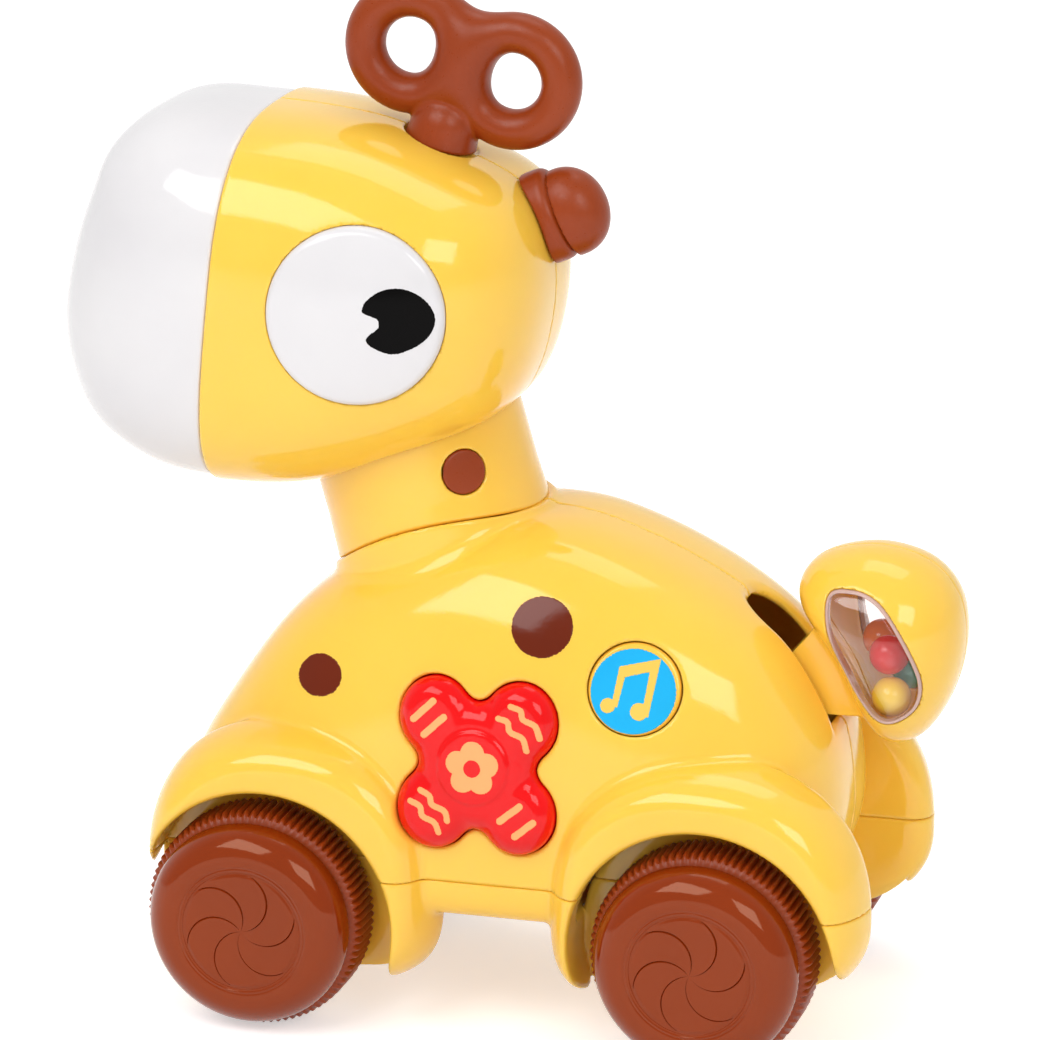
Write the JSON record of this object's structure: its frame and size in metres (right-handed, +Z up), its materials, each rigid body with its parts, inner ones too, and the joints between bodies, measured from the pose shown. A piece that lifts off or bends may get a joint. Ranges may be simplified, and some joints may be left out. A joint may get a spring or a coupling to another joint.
{
  "type": "press and go toy",
  "caption": "Giraffe push toy on ribbed wheels: pressing its head drives the rear wheels, a key turns, buttons press, and a tail with loose beads wags.",
  "frame": {"origin": "on the floor under the middle of the toy's length and width", "axes": "-X is forward (the muzzle), -Y is the toy's left side with the buttons, +Z is up"},
  "size_m": [0.1628, 0.0848, 0.1848],
  "materials": {
    "yellow_plastic": "glossy moulded",
    "white_plastic": "glossy moulded",
    "brown_plastic": "satin moulded",
    "red_plastic": "glossy, slightly see-through",
    "clear_plastic": "clear moulded window with a pink tint",
    "steel": "bright wire and rod",
    "nylon": "natural, unpainted",
    "silicone": "soft grey",
    "circuit_board": "green lacquer",
    "black_plastic": "matt",
    "bead_red": "glossy",
    "bead_teal": "glossy",
    "bead_yellow": "glossy",
    "bead_orange": "glossy"
  },
  "bodies": {
    "body": {"base_screw_1": "steel", "base_screw_2": "steel", "base_screw_3": "steel", "base_screw_4": "steel", "base_shell": "yellow_plastic", "battery_door": "yellow_plastic", "body_left": "yellow_plastic", "body_right": "yellow_plastic", "button_cell_1": "steel", "button_cell_2": "steel", "button_cell_3": "steel", "circuit_board": "circuit_board", "door_screw": "steel", "flower_pad": "silicone", "gear_plate_left": "nylon", "gear_plate_right": "nylon", "music_pad": "silicone", "neck": "yellow_plastic", "neck_plug_left": "brown_plastic", "neck_plug_right": "brown_plastic", "pinion_shaft": "steel", "return_spring": "steel", "second_shaft": "steel", "speaker": "black_plastic", "tail_pin": "steel"},
    "head": {"head_left": "yellow_plastic", "head_right": "yellow_plastic", "muzzle": "white_plastic", "eye_left": "white_plastic", "eye_right": "white_plastic", "mane_tuft": "brown_plastic", "plunger": "nylon", "key_washer": "steel"},
    "key": {"winding_key": "brown_plastic"},
    "rack_gear": {"rack_pinion_gear": "nylon"},
    "second_gear": {"second_gear": "nylon"},
    "clutch_gear": {"clutch_gear": "nylon"},
    "front_wheels": {"front_axle": "steel", "wheel_front_left": "brown_plastic", "wheel_front_right": "brown_plastic", "wheel_cap_front_left": "brown_plastic", "wheel_cap_front_right": "brown_plastic"},
    "rear_wheels": {"rear_axle": "steel", "wheel_rear_left": "brown_plastic", "wheel_rear_right": "brown_plastic", "wheel_cap_rear_left": "brown_plastic", "wheel_cap_rear_right": "brown_plastic"},
    "flower": {"flower_button": "red_plastic"},
    "music": {"music_button": "yellow_plastic"},
    "tail": {"tail_left": "yellow_plastic", "tail_right": "yellow_plastic", "tail_window_left": "clear_plastic", "tail_window_right": "clear_plastic", "bead_red": "bead_red", "bead_teal": "bead_teal", "bead_yellow": "bead_yellow", "bead_orange": "bead_orange"}
  },
  "joints": [
    {"name": "head_press", "type": "slide", "parent": "body", "child": "head", "axis": [0.2756, 0, -0.9613], "range_m": [0, 0.01], "stiffness_N_per_m": 300, "springref_m": -0.01, "deforming": ["return_spring"]},
    {"name": "key_turn", "type": "hinge", "parent": "head", "child": "key", "pos_m": [-0.01485, 0, 0.155], "axis": [0.2807, 0, 0.9598], "continuous": true},
    {"name": "rack_gear_turn", "type": "hinge", "parent": "body", "child": "rack_gear", "pos_m": [0.00889, 0, 0.04999], "axis": [0, -1, 0], "range_deg": [0, 78]},
    {"name": "second_gear_turn", "type": "hinge", "parent": "body", "child": "second_gear", "pos_m": [0.03029, 0, 0.03912], "axis": [0, 1, 0], "range_deg": [0, 231]},
    {"name": "clutch_gear_turn", "type": "hinge", "parent": "body", "child": "clutch_gear", "pos_m": [0.04215, 0, 0.02], "axis": [0, -1, 0], "range_deg": [0, 460]},
    {"name": "front_roll", "type": "hinge", "parent": "body", "child": "front_wheels", "pos_m": [-0.03965, 0, 0.02], "axis": [0, 1, 0], "continuous": true},
    {"name": "rear_roll", "type": "hinge", "parent": "body", "child": "rear_wheels", "pos_m": [0.04215, 0, 0.02], "axis": [0, 1, 0], "continuous": true},
    {"name": "flower_press", "type": "slide", "parent": "body", "child": "flower", "axis": [0, 0.9945, -0.1045], "range_m": [0, 0.0016], "stiffness_N_per_m": 400, "springref_m": -0.001, "deforming": ["flower_pad"]},
    {"name": "music_press", "type": "slide", "parent": "body", "child": "music", "axis": [-0.2287, 0.9174, -0.3256], "range_m": [0, 0.0014], "stiffness_N_per_m": 400, "springref_m": -0.001, "deforming": ["music_pad"]},
    {"name": "tail_swing", "type": "hinge", "parent": "body", "child": "tail", "pos_m": [0.04155, 0, 0.057], "axis": [0, -1, 0], "range_deg": [0, 28]}
  ],
  "couplings": [
    {"joint": "rack_gear_turn", "follows": "head_press", "rad_per_m": 133.33},
    {"joint": "second_gear_turn", "follows": "head_press", "rad_per_m": 400},
    {"joint": "clutch_gear_turn", "follows": "head_press", "rad_per_m": 800}
  ]
}
